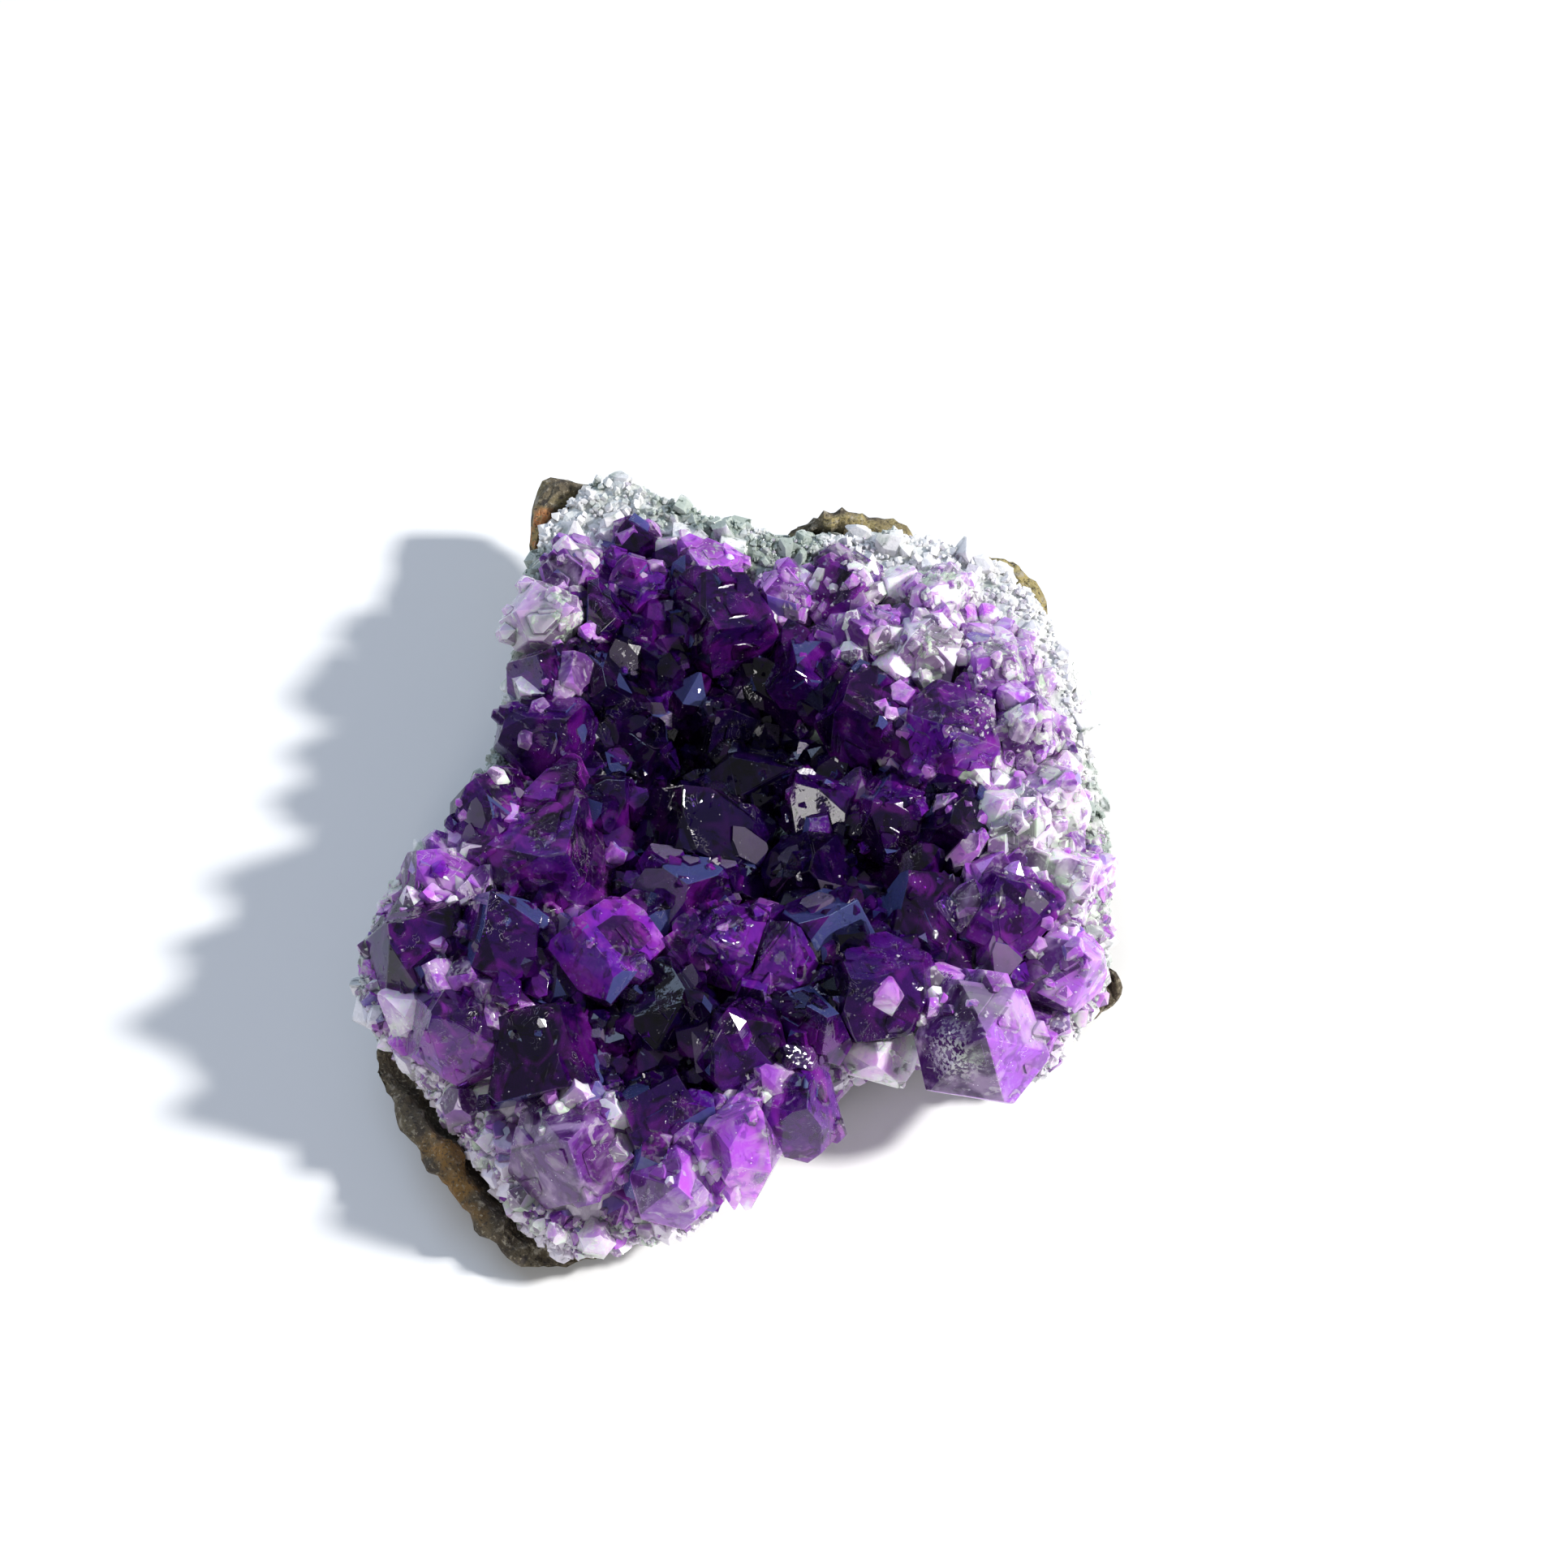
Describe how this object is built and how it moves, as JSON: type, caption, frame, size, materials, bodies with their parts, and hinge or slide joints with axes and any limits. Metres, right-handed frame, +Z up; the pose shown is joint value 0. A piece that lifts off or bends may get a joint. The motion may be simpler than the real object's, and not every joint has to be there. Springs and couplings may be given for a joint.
{
  "type": "amethyst cluster",
  "caption": "Broken piece of geode wall: violet quartz crystals crowd a dished bed of grey-white quartz over a brown basalt crust, lying on its crust.",
  "frame": {"origin": "on the surface the piece lies on, in the middle of the crust's flat rest face", "axes": "+Z up, the way the crystals point; +Y towards the back, where the broken edge stands highest; +X to the right"},
  "size_m": [0.0934, 0.1041, 0.029],
  "materials": {
    "basalt": "rough weathered rock, brown with olive and orange patches",
    "grey_quartz": "sugary white and grey-green quartz, cloudy",
    "amethyst_ink": "nearly black violet, clear and glossy",
    "amethyst_deep": "deep violet, clear and glossy",
    "amethyst_royal": "bright purple, clear and glossy",
    "amethyst_lilac": "light purple, partly cloudy, glossy",
    "amethyst_pale": "whitish lilac, cloudy, satin"
  },
  "bodies": {
    "root": {"basalt_crust": "basalt", "quartz_bed": "grey_quartz", "crystal_01": "amethyst_lilac", "crystal_02": "amethyst_pale", "crystal_03": "amethyst_deep", "crystal_04": "amethyst_royal", "crystal_05": "amethyst_lilac", "crystal_06": "amethyst_deep", "crystal_07": "amethyst_deep", "crystal_08": "amethyst_ink", "crystal_09": "amethyst_deep", "crystal_10": "amethyst_deep", "crystal_11": "amethyst_ink", "crystal_12": "amethyst_ink", "crystal_13": "amethyst_ink", "crystal_14": "amethyst_deep", "crystal_15": "amethyst_ink", "crystal_16": "amethyst_deep", "crystal_17": "amethyst_ink", "crystal_18": "amethyst_deep", "crystal_19": "amethyst_ink", "crystal_20": "amethyst_lilac", "crystal_21": "amethyst_royal", "crystal_22": "amethyst_pale", "crystal_23": "amethyst_deep", "crystal_24": "amethyst_lilac", "crystal_25": "amethyst_pale", "crystal_26": "amethyst_deep", "crystal_27": "amethyst_lilac", "crystal_28": "amethyst_royal", "crystal_29": "amethyst_lilac", "crystal_30": "amethyst_pale", "crystal_31": "amethyst_pale", "crystal_32": "amethyst_royal", "crystal_33": "amethyst_pale", "crystal_34": "amethyst_lilac", "crystal_35": "amethyst_lilac", "crystal_36": "amethyst_deep", "crystal_37": "amethyst_deep", "crystal_38": "amethyst_deep", "crystal_39": "amethyst_pale", "crystal_40": "amethyst_deep", "crystal_41": "amethyst_royal", "crystal_42": "amethyst_royal", "crystal_43": "amethyst_deep", "crystal_44": "amethyst_deep", "crystal_45": "amethyst_royal", "crystal_46": "amethyst_lilac", "crystal_47": "amethyst_ink", "crystal_48": "amethyst_deep", "crystal_49": "amethyst_lilac", "crystal_50": "amethyst_royal", "crystal_51": "amethyst_royal", "crystal_52": "amethyst_royal", "crystal_53": "amethyst_lilac", "crystal_54": "amethyst_deep", "crystal_55": "amethyst_deep", "crystal_56": "amethyst_royal", "crystal_57": "amethyst_deep", "crystal_58": "amethyst_lilac"}
  },
  "joints": []
}
